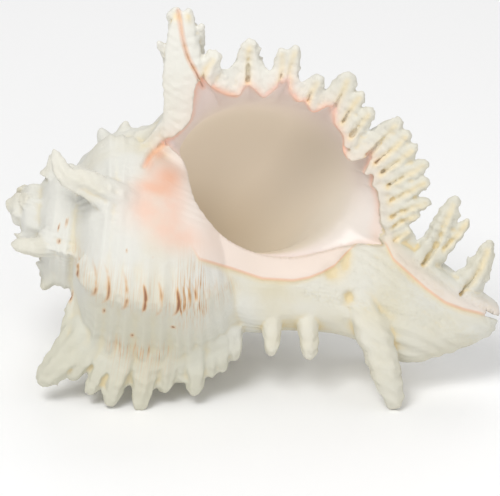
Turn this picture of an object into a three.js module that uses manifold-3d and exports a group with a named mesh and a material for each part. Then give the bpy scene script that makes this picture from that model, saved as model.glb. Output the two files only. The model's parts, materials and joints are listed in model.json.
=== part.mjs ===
// A ramose murex: the spiny shell of a large sea snail, grown as one piece.
// Millimetres, +Z up. The shell lies on the fronds of its lower ridge, on two old canal ends and on a
// shoulder knob, with its opening towards -Y, its spire towards -X and its canal towards +X.
//
// The shell is first built about its own coiling axis: distances along the axis are measured from the
// apex, distances out are measured from the axis, and azimuths are in degrees, from 0 at the front
// through 90 at the top. The whorls grow towards smaller azimuths. It is then tipped and rolled into rest.
import * as THREE from 'three';
import { LoftGeometry } from 'three/addons/geometries/LoftGeometry.js';
import { mergeVertices } from 'three/addons/utils/BufferGeometryUtils.js';
import Module from 'manifold-3d';

const wasm = await Module();
wasm.setup();

// Driving dimensions.
const WHORL_GROWTH = 1.9; // how many times larger each turn is than the turn before it
const TURNS = 4.4;
const LIP_AZIMUTH = 70; // where the last whorl ends, at the outer lip
const AXIS_DIP = 12.4; // the axis drops this much from the apex to the canal, seen from the front
const ROLL = 25; // how far the shell is rolled back about the long direction of the floor
const RIDGE_STEP = 103; // from one fronded ridge to the next
const RIDGE_HEIGHTS = [11, 12, 19]; // how far the ridges stand above the whorl, the youngest first
const OLD_RIDGE = 12; // and an older one, at the size of the lip
const CREST_SPREAD = 4; // degrees from a ridge's crest to the foot of its thin top
const FLANK_SPREAD = 13;
const RIB_HEIGHT = 8; // the lower ribs halfway between two ridges
const RIB_SPREAD = 10;
const CAVITY_END = -235; // how far back the opening runs into the whorl
const LIP_BEVEL = 14; // degrees over which the mouth narrows to the bore of the whorl
const NARROW_FROND = 6; // fronds up to this width are left off the worn back ridge
const FLOOR_DROP = 64.2; // from the apex down to the floor, which the worn tips meet flat

// The outside of the last whorl at the lip, from the suture to the tip of the canal: along, out.
const WHORL_PROFILE = [
  [37.5, 21.5], [43, 28.5], [48, 37.5], [53.5, 48.5], [59, 55.5], [71, 59], [84, 60], [96, 59],
  [110, 54.5], [119, 50], [128, 42], [137, 31], [146, 20], [153, 13], [162, 9], [172, 6],
];
const WIDEST = 80; // along, where ridges and ribs are highest

// The rim of the mouth, from the parietal side along the inner lip, then back along the outer lip.
const MOUTH = [
  [60, 30], [64.4, 19.2], [68.4, 13.2], [78, 5], [91, 1.5], [104.3, 2.6], [115.3, 7.5], [126.4, 13.4],
  [136.5, 15.5], [132.4, 27], [126, 38], [118, 43.5], [108, 54], [91.8, 62], [77, 61.5], [67.6, 56.5],
  [59, 45.5], [52, 35],
];
const BORE_CENTRE = [93, 29.5];
const BORE_HALF = [33, 27.5]; // half the bore along and out, at the size of the lip

// The canal's sections: along, middle height, half height, middle nearness, half depth.
const CANAL = [
  [64, -1, 18, 2, 24], [80, -1, 19, 2, 20], [95, -1, 19.5, 1, 16], [112, -1, 19, 0, 14.5],
  [130, 0, 20, 0, 13.5], [142, -1, 21, 0, 12.5],
  [153, -5, 20, 0, 11.5], [164, -5, 15.5, 0, 9.5], [174, -4, 10, 0, 7.5], [180, -3, 6.5, 0, 5],
  [182, -3, 4, 0, 3],
];
const CANAL_SIDES = 14;
// The slit of the canal: along, height, nearness.
const SLIT = [
  [124, 14, 14], [136, 14.3, 14.5], [147.6, 6.7, 13.5], [154.7, 2.7, 12.2], [162.4, -0.7, 10.2],
  [169.2, -1.7, 8.8], [175.4, -1.8, 6.5], [186, -2.2, 3],
];
const SLIT_WIDTH = 4.4;
const SLIT_DEPTH = 8.8;

// Old canal ends, left behind as the shell grew: path as along, height and nearness, then width, depth
// and the direction that the depth is measured in.
const OLD_CANALS = [
  {
    path: [[122, 6, 4], [131, -6, 8], [141, -24, 9], [150.7, -41.8, 6.4]],
    width: 13,
    depth: 12,
    front: [0, 0, 1],
  },
  {
    path: [[124, 0, -4], [134, -6, -12], [144, -17, -20], [152.5, -28.5, -25.5]],
    width: 12,
    depth: 11,
    front: [0, 1, 0],
  },
];
const OLD_CANAL_TIP = 0.55; // how wide an old canal end stays at its worn tip, against its root

// Fronds of the outer lip. Each has a root, a middle and a tip, as along and out, and its width.
const LIP_FRONDS = [
  [[60, 50], [52, 71], [47.3, 87], 22],
  [[65, 60], [63.5, 68], [60.8, 74.7], 9],
  [[76, 62], [73.5, 72], [72.4, 79.8], 11],
  [[87, 62], [85.5, 72], [83.8, 79.4], 8],
  [[89, 62], [88.5, 73], [88.4, 81.6], 8],
  [[97, 62], [98, 68], [99.3, 71.8], 8],
  [[106, 57], [108.5, 68], [108.9, 76], 9],
  [[110, 56], [113, 64], [114.9, 70], 7],
  [[114, 52], [117.5, 59], [119.7, 64.5], 7],
  [[121, 46], [128, 57], [130, 63.5], 9],
  [[124, 44], [131, 53], [134.5, 59.8], 6],
  [[127, 41], [134, 49], [138.4, 55.3], 6],
  [[130, 37], [139, 45.5], [143.8, 50], 6],
  [[131, 32], [140, 39], [145.8, 43.9], 5.5],
  [[133, 27], [144, 33.5], [151.1, 36.2], 6.5],
  [[135, 23], [145, 28.5], [151, 31.1], 5.5],
  [[137, 19], [143, 24], [146.9, 26.3], 5],
  [[154, 6], [155.2, 26], [156.5, 40.2], 11],
  [[157, 20], [160.5, 27], [163, 32.4], 5],
  [[169, 3], [171.7, 17.4], [172.2, 26], 8],
];
// Fronds of the lower ridge, which lies two ridges before the lip.
const LOWER_FRONDS = [
  [[43, 35], [33, 51], [26.6, 59.8], 13],
  [[44, 42], [40, 50], [37.5, 55.9], 5.5],
  [[49, 43], [46.5, 52], [44.8, 59.4], 6],
  [[54, 43], [53, 54], [53, 62], 8],
  [[62, 43], [63, 53], [63.4, 61.6], 8],
  [[69, 41], [70, 48], [70.8, 53.3], 7],
  [[74, 39], [75, 44.5], [76, 48.5], 6],
  [[77, 37], [80, 46], [81.8, 52], 7],
  [[82, 35], [84.5, 40.5], [86, 44.5], 5.5],
  [[85, 32], [87.5, 37.5], [89.8, 41.8], 6],
  [[89, 28], [91.5, 33], [93, 37], 5.5],
  [[101, 14], [103.5, 25], [105, 32.6], 7],
  [[114, 12], [116.8, 23], [118.4, 29.7], 7],
];
// The shoulder frond of the ridge before that one, bent towards the apex.
const UPPER_FRONDS = [
  [[34, 30], [26, 39], [13.4, 38], 13],
];
const UPPER_AZIMUTH = 22;
const UPPER_LEAN = -8;
const FROND_LEAN = 4; // degrees from root to tip, towards the growing side
const FROND_TIP = 0.3; // how wide the tip of a frond stays, against its root
const FROND_FOLD = 0.7; // how far its front is folded in
const FROND_DEPTH = 9; // the most that a frond is deep
const BROAD_FROND = 10; // fronds wider than this have more sides
const BACK_STRETCH = 1.05; // how much longer the fronds of the back ridge are, at their size

// Knobs of the ribs and of the oldest ridges: growth, then along, out, reach and width, which are given
// at the size of the lip.
const KNOBS = [
  [-51.5, 62, 60, 9, 24], [-154.5, 60, 62, 17, 17], [-257, 60, 58, 4, 20], [-385, 64, 60, 9, 22],
  [-394, 80, 62, 10, 20], [-412, 56, 62, 14, 18], [-464, 60, 60, 10, 18], [-515, 56, 62, 22, 18],
  [-566, 62, 60, 15, 24], [-618, 50, 62, 30, 18], [-721, 56, 62, 22, 18], [-824, 56, 62, 20, 18],
  [-923, 56, 60, 20, 18], [-1030, 56, 60, 20, 18], [-1133, 56, 60, 20, 18],
];

const radians = Math.PI / 180;

/** The size of the growing whorl at an angle of growth, where 0 is the lip and -360 is one turn back. */
function scaleAt(growth) {
  return WHORL_GROWTH ** (growth / 360);
}

/** A point from its distance along the axis, its distance out and its azimuth. */
function around(along, out, azimuth) {
  const a = azimuth * radians;
  return new THREE.Vector3(along, -out * Math.cos(a), out * Math.sin(a));
}

/** A point from its distance along the axis, its height above the axis and its nearness to the front. */
function facing(along, height, near) {
  return new THREE.Vector3(along, -near, height);
}

/** A closed geometry as a solid with its faces outwards. */
function solid(geometry) {
  const plain = new THREE.BufferGeometry();
  plain.setAttribute('position', geometry.attributes.position);
  plain.setIndex(geometry.index);
  const merged = mergeVertices(plain, 1e-4);
  const index = merged.index.array;
  const triangles = [];
  for (let i = 0; i < index.length; i += 3) {
    const [a, b, c] = [index[i], index[i + 1], index[i + 2]];
    if (a !== b && b !== c && c !== a) triangles.push(a, b, c);
  }
  const build = (triVerts) => new wasm.Manifold(new wasm.Mesh({
    numProp: 3,
    vertProperties: merged.attributes.position.array,
    triVerts: new Uint32Array(triVerts),
  }));
  const made = build(triangles);
  return made.volume() > 0 ? made : build(triangles.reverse());
}

/** A solid skinned over closed sections, each end drawn together at its middle. */
function loft(sections) {
  const gather = (section) => {
    const middle = new THREE.Vector3();
    for (const point of section) middle.addScaledVector(point, 1 / section.length);
    return section.map(() => middle);
  };
  return solid(new LoftGeometry([gather(sections[0]), ...sections, gather(sections.at(-1))]));
}

/** A bell curve of height 1. */
function bell(distance, spread) {
  return Math.exp(-((distance / spread) ** 2));
}

/** The distance of an angle of growth from the nearest of the features that repeat every ridge step. */
function fromNearest(growth, offset) {
  const steps = (growth + offset) / RIDGE_STEP;
  return (steps - Math.round(steps)) * RIDGE_STEP;
}

/** How far ridges and ribs raise the whorl, at a point given at the size of the lip. */
function relief(along, growth) {
  const height = RIDGE_HEIGHTS[Math.round(-growth / RIDGE_STEP)] ?? OLD_RIDGE;
  const off = fromNearest(growth, 0);
  const ridge = height * (0.55 * bell(off, CREST_SPREAD) + 0.45 * bell(off, FLANK_SPREAD));
  const ridgeFade = 0.15 + 0.85 * bell(along - WIDEST, 40);
  const rib = RIB_HEIGHT * bell(fromNearest(growth, RIDGE_STEP / 2), RIB_SPREAD);
  const ribFade = bell(along - WIDEST, 36);
  return ridge * ridgeFade + rib * ribFade;
}

/** The whorl's section in the half plane at an angle of growth. */
function whorlSection(growth) {
  const size = scaleAt(growth);
  const azimuth = LIP_AZIMUTH - growth;
  const core = 1.5;
  const points = WHORL_PROFILE.map(([along, out]) => {
    const raised = out + relief(along, growth) * Math.min(1, out / WHORL_PROFILE[4][1]);
    return around(along * size, raised * size, azimuth);
  });
  points.push(around(WHORL_PROFILE.at(-1)[0] * size, core * size, azimuth));
  points.push(around(WHORL_PROFILE[0][0] * size, core * size, azimuth));
  return points;
}

/** The whorls, in runs of less than a turn, from the lip back to the apex. */
function whorls() {
  const steps = [0, 3, 7, 15, 28, 41, 51.5, 62, 75, 88, 96, 100];
  const coarseSteps = [0, 8, 30, 51.5, 73, 95];
  const longestRun = 340;
  const growths = [];
  for (let ridge = 0; ridge * RIDGE_STEP < TURNS * 360; ridge++) {
    for (const step of ridge < 4 ? steps : coarseSteps) growths.push(-(ridge * RIDGE_STEP + step));
  }
  const parts = [];
  let run = [];
  for (const growth of growths) {
    run.push(growth);
    if (run[0] - growth > longestRun || growth === growths.at(-1)) {
      parts.push(loft(run.map(whorlSection)));
      run = [growth];
    }
  }
  return parts;
}

/** The hollow of the last whorl, from in front of the mouth back to where it ends. */
function hollow() {
  const reach = 70;
  const mouth = MOUTH.map(([along, out]) => around(along, out, LIP_AZIMUTH));
  const before = mouth.map((point) => point.clone().add(new THREE.Vector3(0, -reach, 0)));
  const angles = MOUTH.map(([along, out]) => Math.atan2(
    (out - BORE_CENTRE[1]) / BORE_HALF[1],
    (along - BORE_CENTRE[0]) / BORE_HALF[0],
  ));
  const bore = (growth, full) => {
    const size = scaleAt(growth);
    return angles.map((angle, i) => {
      const along = BORE_CENTRE[0] + full * BORE_HALF[0] * Math.cos(angle);
      const out = BORE_CENTRE[1] + full * BORE_HALF[1] * Math.sin(angle);
      const open = Math.max(0, 1 + growth / LIP_BEVEL);
      const mix = (inner, outer) => inner + (outer - inner) * open;
      const azimuth = LIP_AZIMUTH - growth;
      return around(mix(along, MOUTH[i][0]) * size, mix(out, MOUTH[i][1]) * size, azimuth);
    });
  };
  const steps = [-LIP_BEVEL / 2, -LIP_BEVEL];
  for (let growth = -32; growth > CAVITY_END; growth -= 21) steps.push(growth);
  const sections = [before, mouth, ...steps.map((growth) => bore(growth, 1))];
  sections.push(bore(CAVITY_END - 6, 0.75), bore(CAVITY_END - 11, 0.3));
  return loft(sections);
}

/** A curved, tapering frond whose folded side faces `front`. */
function frond(points, width, depth, front, { tip, fold, rings, sides }) {
  const line = new THREE.CatmullRomCurve3(points);
  const sections = [];
  for (let ring = 0; ring <= rings; ring++) {
    const t = ring / rings;
    const at = line.getPoint(t);
    const tangent = line.getTangent(t);
    const side = new THREE.Vector3().crossVectors(tangent, front).normalize();
    const face = new THREE.Vector3().crossVectors(side, tangent).normalize();
    const swell = tip + (1 - tip) * Math.sqrt(1 - t * t);
    const section = [];
    for (let i = 0; i < sides; i++) {
      const angle = (i / sides + 0.25) * 2 * Math.PI;
      const pinch = i === 0 ? 1 - fold : 1;
      section.push(at.clone()
        .addScaledVector(side, Math.cos(angle) * swell * width / 2)
        .addScaledVector(face, Math.sin(angle) * swell * pinch * depth / 2));
    }
    sections.push(section);
  }
  return loft(sections);
}

/** The fronds of a ridge that stands at an azimuth, leaning towards the growing side. */
function fronds(list, azimuth, { size = 1, lean = FROND_LEAN, length = 1 } = {}) {
  return list.map(([root, middle, tip, width]) => {
    const place = (point, turn) => {
      const [along, out] = root.map((start, i) => (start + (point[i] - start) * length) * size);
      return around(along, out, azimuth + turn);
    };
    const points = [place(root, lean), place(middle, lean / 2), place(tip, -lean / 2)];
    const depth = Math.min(width, FROND_DEPTH);
    return frond(points, width * size, depth * size, around(0, 1, azimuth - 90), {
      tip: FROND_TIP,
      fold: FROND_FOLD,
      rings: width > NARROW_FROND ? 3 : 2,
      sides: width > BROAD_FROND ? 8 : 6,
    });
  });
}

/** A blunt knob on the shoulder, at an angle of growth. */
function knob([growth, along, out, reach, width]) {
  const size = scaleAt(growth);
  const azimuth = LIP_AZIMUTH - growth;
  const sunk = 12; // how far its root lies inside the whorl
  const points = [
    around(along * size, (out - sunk) * size, azimuth),
    around(along * size, out * size, azimuth),
    around((along - reach / 3) * size, (out + reach) * size, azimuth),
  ];
  const front = around(0, 1, azimuth - 90);
  return frond(points, width * size, width * size, front, { tip: 0.45, fold: 0, rings: 3, sides: 6 });
}

/** An old canal end. */
function oldCanal({ path, width, depth, front }) {
  const points = path.map((point) => facing(...point));
  return frond(points, width, depth, facing(...front), { tip: OLD_CANAL_TIP, fold: 0, rings: 4, sides: 8 });
}

/** The canal: a broad flattened tube that thins to the tip. */
function canal() {
  return loft(CANAL.map(([along, height, halfHeight, near, halfDepth]) => {
    const section = [];
    for (let i = 0; i < CANAL_SIDES; i++) {
      const angle = (i / CANAL_SIDES) * 2 * Math.PI;
      section.push(facing(along, height + halfHeight * Math.cos(angle), near + halfDepth * Math.sin(angle)));
    }
    return section;
  }));
}

/** The slit that runs along the canal from the mouth to the tip. */
function slit() {
  const points = SLIT.map((point) => facing(...point));
  return frond(points, SLIT_WIDTH, SLIT_DEPTH, facing(0, 0, 1), { tip: 1, fold: 0, rings: 9, sides: 6 });
}

/** The whole shell about its own axis. */
function shellAboutAxis() {
  const broad = LIP_FRONDS.filter(([, , , width]) => width > NARROW_FROND);
  const parts = [
    ...whorls(),
    canal(),
    ...fronds(LIP_FRONDS, LIP_AZIMUTH),
    ...fronds(broad, LIP_AZIMUTH + RIDGE_STEP, { size: scaleAt(-RIDGE_STEP), length: BACK_STRETCH }),
    ...fronds(LOWER_FRONDS, LIP_AZIMUTH + 2 * RIDGE_STEP),
    ...fronds(UPPER_FRONDS, UPPER_AZIMUTH, { lean: UPPER_LEAN }),
    ...OLD_CANALS.map(oldCanal),
    ...KNOBS.map(knob),
  ];
  let made = parts[0];
  for (const part of parts.slice(1)) made = made.add(part);
  return made.subtract(hollow()).subtract(slit());
}

/** The shell in its rest, with the tips that meet the floor worn flat, its box centred above the origin. */
function atRest(made) {
  const below = 100;
  const wide = 400;
  const turned = made.rotate([0, AXIS_DIP, 0]).rotate([-ROLL, 0, 0]);
  const floor = new THREE.BoxGeometry(wide, wide, below).translate(0, 0, -FLOOR_DROP - below / 2);
  const worn = turned.subtract(solid(floor));
  const { min, max } = worn.boundingBox();
  return worn.translate([-(min[0] + max[0]) / 2, -(min[1] + max[1]) / 2, -min[2]]);
}

/** A solid as a geometry. */
function geometryOf(made) {
  const { vertProperties, triVerts } = made.getMesh();
  const geometry = new THREE.BufferGeometry();
  geometry.setAttribute('position', new THREE.BufferAttribute(vertProperties, 3));
  geometry.setIndex(new THREE.BufferAttribute(triVerts, 1));
  geometry.computeVertexNormals();
  return geometry;
}

const material = new THREE.MeshStandardMaterial({ color: 0xf3ede2, roughness: 0.6, metalness: 0 });
const shell = new THREE.Mesh(geometryOf(atRest(shellAboutAxis())), material);
shell.name = 'shell';

const group = new THREE.Group();
group.add(shell);

export default group;
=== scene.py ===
import json
import math

import bpy
import numpy as np
from mathutils import Matrix, Vector

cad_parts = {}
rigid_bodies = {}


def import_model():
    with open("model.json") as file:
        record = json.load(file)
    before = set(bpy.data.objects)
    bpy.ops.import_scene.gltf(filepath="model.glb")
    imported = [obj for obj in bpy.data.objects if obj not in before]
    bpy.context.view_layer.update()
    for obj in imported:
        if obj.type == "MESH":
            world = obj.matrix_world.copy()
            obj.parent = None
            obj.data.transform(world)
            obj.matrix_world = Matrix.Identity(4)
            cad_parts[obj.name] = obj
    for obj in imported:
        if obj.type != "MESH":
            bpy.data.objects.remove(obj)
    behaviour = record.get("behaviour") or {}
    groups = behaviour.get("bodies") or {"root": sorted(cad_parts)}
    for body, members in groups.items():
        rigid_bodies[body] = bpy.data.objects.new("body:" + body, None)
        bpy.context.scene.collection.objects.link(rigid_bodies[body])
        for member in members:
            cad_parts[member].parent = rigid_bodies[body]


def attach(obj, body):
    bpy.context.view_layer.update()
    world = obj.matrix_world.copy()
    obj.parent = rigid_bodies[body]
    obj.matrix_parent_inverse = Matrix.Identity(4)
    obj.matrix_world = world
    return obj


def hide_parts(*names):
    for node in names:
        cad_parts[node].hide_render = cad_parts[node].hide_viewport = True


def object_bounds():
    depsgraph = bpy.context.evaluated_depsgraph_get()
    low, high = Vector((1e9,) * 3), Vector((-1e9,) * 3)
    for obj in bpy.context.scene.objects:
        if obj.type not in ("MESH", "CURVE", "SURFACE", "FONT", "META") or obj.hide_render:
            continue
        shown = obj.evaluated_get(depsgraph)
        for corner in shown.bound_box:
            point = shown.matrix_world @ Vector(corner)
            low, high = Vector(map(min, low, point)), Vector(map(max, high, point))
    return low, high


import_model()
CAD_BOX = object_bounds()

bl_info = {
    "name": "Ramose murex shell",
    "version": (1, 0, 0),
    "blender": (4, 5, 0),
    "location": "View3D > Sidebar > Shell",
    "description": "Models a spiny murex shell with its mouth, fronds, canal and colours",
    "category": "Add Mesh",
}

# Growth of the shell.
WHORL_GROWTH = 1.9
TURNS = 4.4
LIP_AZIMUTH = 70
RIDGE_STEP = 103
RIDGE_HEIGHTS = (11, 12, 19)
OLD_RIDGE = 12
CREST_SPREAD = 3.6
CREST_SHARE = 0.55
FLANK_SPREAD = 13
RIB_HEIGHT = 8
RIB_SPREAD = 10
WIDEST = 80
CAVITY_END = -235

# The rest position: dip of the axis, roll about the long direction, and where the apex then lies.
AXIS_DIP = math.radians(12.4)
ROLL = math.radians(25)
APEX = (-89.84, -10.406, 64.2)

# The outside of the last whorl at the lip: along, out.
WHORL_PROFILE = (
    (37.5, 21.5), (43, 28.5), (48, 37.5), (53.5, 48.5), (59, 55.5), (71, 59), (84, 60), (96, 59),
    (110, 54.5), (119, 50), (128, 42), (137, 31), (146, 20), (153, 13), (162, 9), (172, 6),
)
SHOULDER_OUT = 55.5
CORE = 1.5
# Where the callus beside the mouth begins and has covered the older relief, along the axis, and where it
# begins, is full, fades and ends in degrees behind the lip.
CALLUS_ALONG = (60, 84)
CALLUS_GROWTH = (262, 290, 350, 375)
# Degrees between the rings of the whorls, and points along each ring.
WHORL_STEP = 2.4
PROFILE_POINTS = 130

# Spiral cords: where each runs at the lip, along the axis.
CORDS = (46, 53, 62, 70.5, 78, 88.5, 98, 106.5, 112, 118, 123, 128.5, 134, 140, 146, 153)
CORD_SPREAD = 2.1
CORD_START = (48, 60)

# The rim of the mouth: its inner side, then the crenulated outer lip, as along, out at the lip azimuth.
INNER_RIM = (
    (60, 30), (64.4, 19.2), (68.4, 13.2), (78, 5), (91, 1.5), (104.3, 2.6), (115.3, 7.5), (126.4, 13.4),
)
OUTER_RIM = (
    (136.2, 15.3), (132.8, 18.8), (131.2, 28.1), (128.2, 34.7), (126.5, 35.8), (125.7, 40.2), (122.6, 39.9),
    (124, 47.1), (117, 43.5), (113.4, 46.5), (112.7, 50.9), (110.6, 53.4), (108.3, 55.6), (105.8, 61.8),
    (100.2, 57.8), (96.2, 61.1), (93.9, 60.5), (90.2, 63.8), (88.3, 67.5), (83.2, 60.3), (81.2, 59.5),
    (75.5, 62.3), (73.2, 58), (69, 57.4), (63, 59), (60, 61), (57.6, 58), (58.1, 52.2), (58.7, 45.2),
    (55.5, 39.5), (52, 35.3),
)
BORE_CENTRE = (93, 29.5)
BORE_HALF = (33, 27.5)
LIP_BEVEL = 24
FUNNEL_CURVE = 2.1
RIM_POINTS = 260
# Degrees at which the flared mouth has its rings, before the even rings of the hollow.
FUNNEL_RINGS = (0, -1, -2, -3.5, -5, -7, -9, -12, -15)

# The canal's sections: along, middle height, half height, middle nearness, half depth.
CANAL = (
    (64, -1, 18, 2, 24), (80, -1, 19, 2, 20), (95, -3.5, 22, 1, 16), (112, -1.8, 19.6, 0, 14.5),
    (130, 0, 20, 0, 13.5), (142, -1, 21, 0, 12.5), (153, -5, 20, 0, 11.5), (164, -5, 15.5, 0, 9.5),
    (174, -4, 10, 0, 7.5), (180, -3, 6.5, 0, 5), (182, -3, 4, 0, 3),
)
# The edge of the lip where it lies over the canal, as seen from the front.
CANAL_EDGE = (
    (134, 18), (137.8, 14.6), (141, 10.4), (147.6, 6.7), (154.7, 2.7), (162.4, -0.7), (169.2, -1.7),
    (175.4, -1.8), (186, -2.6),
)

# Fronds of the outer lip: points from root to tip as along, out, then the width.
LIP_FRONDS = (
    ((66, 12), (57.6, 44), (47, 84.4), 20.5), ((64, 46), (59.5, 61), (62.4, 73), 13.5),
    ((76, 60), (73.5, 72), (72.4, 79.8), 11), ((87, 60), (85.5, 72), (83.8, 79.4), 8),
    ((89, 60), (88.5, 73), (88.4, 81.6), 8), ((97, 60), (98, 67), (99.3, 71.8), 9),
    ((105, 54), (108, 67), (108.9, 76), 12), ((110, 54), (113, 64), (114.9, 70), 8),
    ((114, 50), (117.5, 59), (119.7, 64.5), 9), ((120, 43), (126.5, 55), (130, 63.5), 12),
    ((123, 42), (130.5, 52), (134.5, 59.8), 9), ((126, 39), (133.5, 48), (138.4, 55.3), 9),
    ((129, 35), (138, 44), (143.8, 50), 9), ((131, 30), (140, 38), (145.8, 43.9), 8.5),
    ((133, 25), (141.5, 31.5), (148.4, 35.8), 8.5), ((135, 22), (141, 26.8), (145.6, 29.8), 6.5),
    ((137, 17), (141, 20.5), (143.8, 23.5), 6.5), ((147, 4), (153.5, 19), (155, 30), (156.5, 40.6), 11.5),
    ((155, 16), (160.5, 26), (163, 32.8), 6), ((162, 0), (169, 9), (171.7, 18), (172.2, 26.4), 11.5),
)
# Fronds of the lower ridge, at their real size.
LOWER_FRONDS = (
    ((45, 21), (35.8, 30.5), (33.8, 46), 12), ((43, 33), (33, 50), (26.6, 60), 13),
    ((44, 40), (40, 50), (37.5, 55.9), 7),
    ((49, 41), (46.5, 52), (44.8, 59.4), 7.5), ((54, 41), (53, 53), (53, 62), 9.5),
    ((62, 41), (63, 52), (63.4, 61.6), 9.5), ((69, 39), (70, 47), (70.8, 53.3), 8.5),
    ((74, 37), (75, 44), (76, 48.5), 7.5), ((77, 35), (80, 45), (81.8, 52), 9),
    ((82, 33), (84.5, 40), (86, 44.5), 7), ((85, 30), (87.5, 37), (89.8, 41.8), 7.5),
    ((89, 26), (91.5, 32.5), (93, 37), 7),
)
# Small points on the sides of the big shoulder frond, as the fronds above.
SHOULDER_POINTS = (
    ((55, 68), (55, 76), (54.8, 81.4), 5), ((50, 61), (45, 67.5), (41, 72), 5),
    ((49, 72), (44.6, 79), (42.4, 83), 4.6), ((50, 68), (46, 79), (44.9, 85.2), 7.5),
    ((52.5, 68), (50, 79), (49.2, 85.8), 7.5),
)
# Widths above which a frond is the big one, has a third point, is repeated on the ridge behind or is grooved.
BIG_FROND = 16
WIDE_FROND = 7
REPEATED_FROND = 6
GROOVED_FROND = 5.5
# A groove's width as a share of its frond's, its least width and the points of its line.
GROOVE_SHARE = 0.17
GROOVE_WIDTH = 1.4
GROOVE_POINTS = 31
# The most that a ridge's frond is deep, and the degrees by which it leans at its root.
FROND_DEPTH = 9
FROND_LEAN = 4
# How a frond is formed where nothing else is said: rings and their points, how blunt and how round the tip
# is, the fold of the face, how the root widens, and how the edges wave, pleat and tear.
FROND_LOOK = {
    "rows": 24, "sides": 30, "tip": 0.3, "round": 7, "fold": 0.75, "notch": 0.42, "flare": 0.35,
    "ruffle": 0.03, "waves": 4.3, "phase": 0, "pleat": 0.1, "jag": 0.13, "groove": True,
}
PLAIN = {"fold": 0, "flare": 0, "pleat": 0, "jag": 0}
RIDGE_LOOK = {"fold": 0.34, "notch": 0.5, "round": 9}
BIG_LOOK = {"tip": 0.66, "fold": 0.06, "notch": 0.3, "rows": 40, "flare": 0, "pleat": 0.05}
POINT_LOOK = {**PLAIN, "rows": 8, "sides": 12, "flare": 0.3, "tip": 0.12, "round": 6}
SLOT_LOOK = {**PLAIN, "tip": 0.35, "rows": 16, "sides": 12, "round": 4}
UPPER_LOOK = {"tip": 0.42, "fold": 0.2, "groove": False, "jag": 0, "pleat": 0.09}
SIDE_LOOK = {"fold": 0, "groove": False, "jag": 0, "pleat": 0.04, "flare": 0.2}
OLD_CANAL_LOOK = {"tip": 0.8, "fold": 0.12, "flare": 0.2, "pleat": 0.03, "rows": 70, "sides": 36}
KNOB_LOOK = {**PLAIN, "tip": 0.42, "flare": 0.3, "rows": 16, "sides": 24}
NOTCH_LOOK = {**PLAIN, "tip": 0.8, "rows": 80, "sides": 16}
# The frond above the spire: path as along, height, nearness, then its width.
UPPER_FROND = ((58, 3, 12), (45, 7.5, 26), (36, 10.5, 31), (27.5, 13, 34), (19.5, 14.2, 36), (13.4, 22.8, 35))
UPPER_WIDTH = 14.5
# More fronds seen from the front: path as along, height, nearness, then width and bluntness.
SIDE_FRONDS = (
    (((53, 32, 5), (43.5, 29.8, 1), (38, 29.2, -1), (33, 25.6, -3)), 15, 0.62),
    (((38, 30, -1), (37.5, 34.4, -1), (37.2, 38.2, -1)), 7.5, 0.4),
    (((35, 27, -2), (31, 30.6, -2), (28.8, 34, -2)), 7.5, 0.4),
    (((24, -10.5, 12), (15, -12.4, 17), (6.4, -13.2, 18)), 7, 0.8),
    (((11, 0, 0), (4.5, 0.3, 0), (0.3, 0.3, 0)), 10, 0.16),
    (((99.6, -6, 2), (101.8, -17, 7.4), (103.8, -25, 6.8), (105.2, -32.8, 5.6)), 7.4, 0.8),
    (((112, -5, 0), (114.6, -16, 6.4), (117, -24, 6), (119, -31, 5)), 7.8, 0.78),
    (((116, 0.5, 7), (123.5, -1, 10), (127.6, -5, 10), (126.6, -16, 8)), 8, 0.7),
)
# Places where the surface is smoothed out, as seen from the front: along, height, half widths.
SOFT_PLACES = ((58, 27, 7, 5), (127, 18, 10, 6), (56, 5, 13, 6), (103, -10, 6, 5), (116, -9, 6, 5))
SOFT_ROUNDS = 45
# How near a point begins to count, and counts in full, as part of the front.
FRONT_DEPTH = (-20, -8)
# The closed seam of the big shoulder frond, as seen from the front.
SHOULDER_SEAM = ((47, 80.2), (49.1, 74.7), (51, 70.2), (54, 64.7), (58.1, 59.9), (61.3, 55.7))

# The fold that carries the rim on beyond the upper corner of the mouth, as seen from the front.
RIM_FOLD = ((53.4, 34.4), (50.4, 30.8), (48.2, 27.4), (46.9, 23.6))

# Old canal ends: path as along, height, nearness, then width, depth and the direction of the depth.
OLD_CANALS = (
    (((122, 6, 4), (132, -6, 8), (143.2, -24, 9), (153, -41.8, 6.4)), 13.4, 12, (0, 0, 1)),
    (((124, 0, -4), (134, -6, -12), (144, -17, -20), (152.5, -28.5, -25.5)), 12, 11, (0, 1, 0)),
)

# Knobs of the ribs and of the oldest ridges: growth, then along, out, reach and width at the lip's size.
KNOBS = (
    (-51.5, 68, 58, 8, 18), (-154.5, 60, 62, 17, 17), (-257, 60, 58, 4, 20),
    (-464, 60, 60, 10, 20), (-515, 56, 62, 20, 22), (-566, 62, 60, 15, 26), (-618, 60, 60, 4, 24),
    (-721, 56, 62, 18, 26), (-824, 56, 62, 14, 30), (-923, 56, 60, 14, 34), (-1030, 56, 60, 12, 36),
    (-1133, 56, 60, 12, 38),
)

# The glossy band below the mouth, as seen from the front: its lower edge and its upper edge.
BAND_LOW = (
    (60, 14), (66, 4), (73.1, -4.3), (84.6, -5.1), (96.6, -6.4), (107.5, -4.7), (112.8, -2.5), (117, 0.3),
    (120.9, 3.7), (123.3, 7.9), (126.6, 12.9),
)
BAND_HIGH = ((58, 34), (75, 12), (90, 8), (128, 16))
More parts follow.
